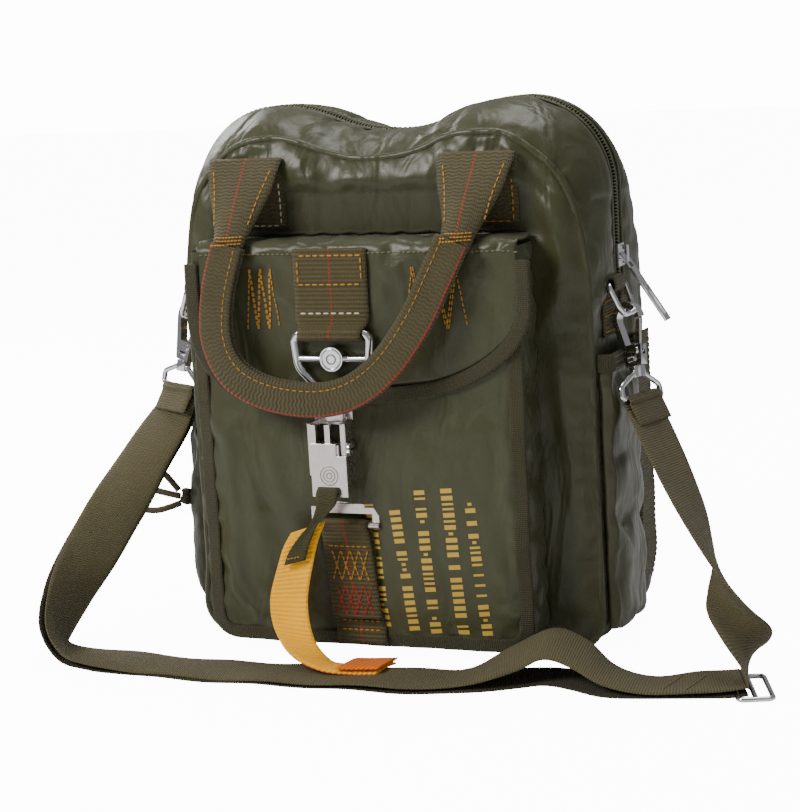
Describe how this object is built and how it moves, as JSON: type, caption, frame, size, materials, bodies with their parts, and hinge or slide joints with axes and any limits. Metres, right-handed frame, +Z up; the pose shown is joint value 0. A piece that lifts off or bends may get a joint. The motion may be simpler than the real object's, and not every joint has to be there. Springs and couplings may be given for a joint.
{
  "type": "flight bag",
  "caption": "Upright zipped nylon flight bag with a flapped front pocket, ring-and-snap closure, webbing handles and a clip-on shoulder strap.",
  "frame": {"origin": "on the ground under the centre of the bag's body, at mid width and mid depth", "axes": "+X to the bag's right as seen from the front, -Y the front, +Z up"},
  "size_m": [0.4277, 0.2111, 0.3092],
  "materials": {
    "olive_nylon": "glossy coated nylon",
    "olive_webbing": "woven webbing",
    "olive_binding": "ribbed binding tape",
    "yellow_webbing": "ribbed webbing",
    "green_tab": "narrow woven tab",
    "cord": "braided cord",
    "chrome": "polished",
    "satin_metal": "satin cast",
    "zip_coil": "nylon coil"
  },
  "bodies": {
    "bag": {"back_panel": "olive_nylon", "base_panel": "olive_nylon", "drawcord_hem": "olive_binding", "drawcord_knot": "cord", "drawcord_loop": "cord", "drawcord_pouch": "olive_nylon", "drawcord_tail": "cord", "flap_seam_tape": "olive_binding", "front_panel": "olive_nylon", "handle_patches": "olive_webbing", "left_hook_loop": "chrome", "left_side_panel": "olive_nylon", "lower_webbing": "olive_webbing", "pocket_edge_binding": "olive_binding", "pocket_gusset": "olive_nylon", "pocket_panel": "olive_nylon", "release_strap": "yellow_webbing", "right_hook_loop": "chrome", "right_pocket_binding": "olive_binding", "right_side_panel": "olive_nylon", "right_side_pocket": "olive_nylon", "ring_webbing": "olive_webbing", "side_webbing": "olive_webbing", "slider_buckle": "chrome", "strap_end_loops": "olive_webbing", "strap_lower_run": "olive_webbing", "strap_right_run": "olive_webbing", "strap_upper_run": "olive_webbing", "top_gusset_front": "olive_nylon", "top_gusset_rear": "olive_nylon", "zip_chain": "zip_coil", "zip_end_tab": "olive_binding", "zip_tape_front": "olive_binding", "zip_tape_rear": "olive_binding"},
    "flap": {"flap_panel": "olive_nylon", "flap_binding": "olive_binding", "flap_webbing": "olive_webbing"},
    "v_ring": {"v_ring": "chrome"},
    "front_handle": {"front_handle_fold": "olive_webbing", "front_handle_grip": "olive_webbing", "front_handle_legs": "olive_webbing"},
    "rear_handle": {"rear_handle_fold": "olive_webbing", "rear_handle_grip": "olive_webbing", "rear_handle_legs": "olive_webbing"},
    "snap": {"snap_frame": "satin_metal", "snap_screw": "satin_metal", "snap_adapter": "satin_metal"},
    "snap_lever": {"snap_lever": "satin_metal", "pull_tab": "green_tab"},
    "zip_slider": {"zip_slider": "chrome"},
    "zip_pull": {"zip_pull": "chrome"},
    "left_d_ring": {"left_d_ring": "chrome"},
    "right_d_ring": {"right_d_ring": "chrome"},
    "left_hook": {"left_hook_body": "chrome", "left_hook_rivet": "chrome"},
    "right_hook": {"right_hook_body": "chrome", "right_hook_rivet": "chrome"},
    "left_hook_gate": {"left_hook_gate": "chrome"},
    "right_hook_gate": {"right_hook_gate": "chrome"}
  },
  "joints": [
    {"name": "flap_open", "type": "hinge", "parent": "bag", "child": "flap", "pos_m": [0, -0.056, 0.238], "axis": [-1, 0, 0], "range_deg": [0, 88]},
    {"name": "front_handle_lift", "type": "hinge", "parent": "bag", "child": "front_handle", "pos_m": [0, -0.056, 0.28], "axis": [-1, 0, 0], "range_deg": [0, 88]},
    {"name": "rear_handle_lift", "type": "hinge", "parent": "bag", "child": "rear_handle", "pos_m": [0, 0.056, 0.28], "axis": [1, 0, 0], "range_deg": [0, 155]},
    {"name": "snap_swing", "type": "hinge", "parent": "bag", "child": "snap", "pos_m": [0, -0.0843, 0.078], "axis": [1, 0, 0], "range_deg": [0, 3.5]},
    {"name": "ring_swing", "type": "hinge", "parent": "flap", "child": "v_ring", "pos_m": [0, -0.0882, 0.187], "axis": [-1, 0, 0], "range_deg": [0, 7.1]},
    {"name": "snap_release", "type": "hinge", "parent": "snap", "child": "snap_lever", "pos_m": [0, -0.0915, 0.123], "axis": [-1, 0, 0], "range_deg": [0, 18], "stiffness_Nm_per_rad": 0.05},
    {"name": "zip_slide", "type": "slide", "parent": "bag", "child": "zip_slider", "axis": [0, 0, 1], "range_m": [-0.006, 0.03]},
    {"name": "zip_pull_swing", "type": "hinge", "parent": "zip_slider", "child": "zip_pull", "pos_m": [0.1292, 0, 0.219], "axis": [0, -1, 0], "range_deg": [-4, 110]},
    {"name": "left_ring_swing", "type": "hinge", "parent": "bag", "child": "left_d_ring", "pos_m": [-0.1294, -0.018, 0.205], "axis": [0, 1, 0], "range_deg": [0, 5]},
    {"name": "right_ring_swing", "type": "hinge", "parent": "bag", "child": "right_d_ring", "pos_m": [0.1294, -0.018, 0.205], "axis": [0, -1, 0], "range_deg": [0, 5]},
    {"name": "left_hook_swivel", "type": "hinge", "parent": "bag", "child": "left_hook", "pos_m": [-0.146, -0.019, 0.1425], "axis": [0.205, 0.041, 0.9779], "range_deg": [-8, 8]},
    {"name": "right_hook_swivel", "type": "hinge", "parent": "bag", "child": "right_hook", "pos_m": [0.1455, -0.03, 0.142], "axis": [-0.1902, 0.1802, 0.9651], "range_deg": [-8, 8]},
    {"name": "left_gate_open", "type": "hinge", "parent": "left_hook", "child": "left_hook_gate", "pos_m": [-0.13819, -0.01935, 0.16808], "axis": [-0.4977, -0.856, 0.1402], "range_deg": [0, 18], "stiffness_Nm_per_rad": 0.004},
    {"name": "right_gate_open", "type": "hinge", "parent": "right_hook", "child": "right_hook_gate", "pos_m": [0.14285, -0.02644, 0.16838], "axis": [-0.4699, -0.8798, 0.0717], "range_deg": [0, 18], "stiffness_Nm_per_rad": 0.004}
  ],
  "couplings": [
    {"joint": "front_handle_lift", "follows": "flap_open", "ratio": 1},
    {"joint": "ring_swing", "follows": "snap_swing", "ratio": 2.02}
  ]
}
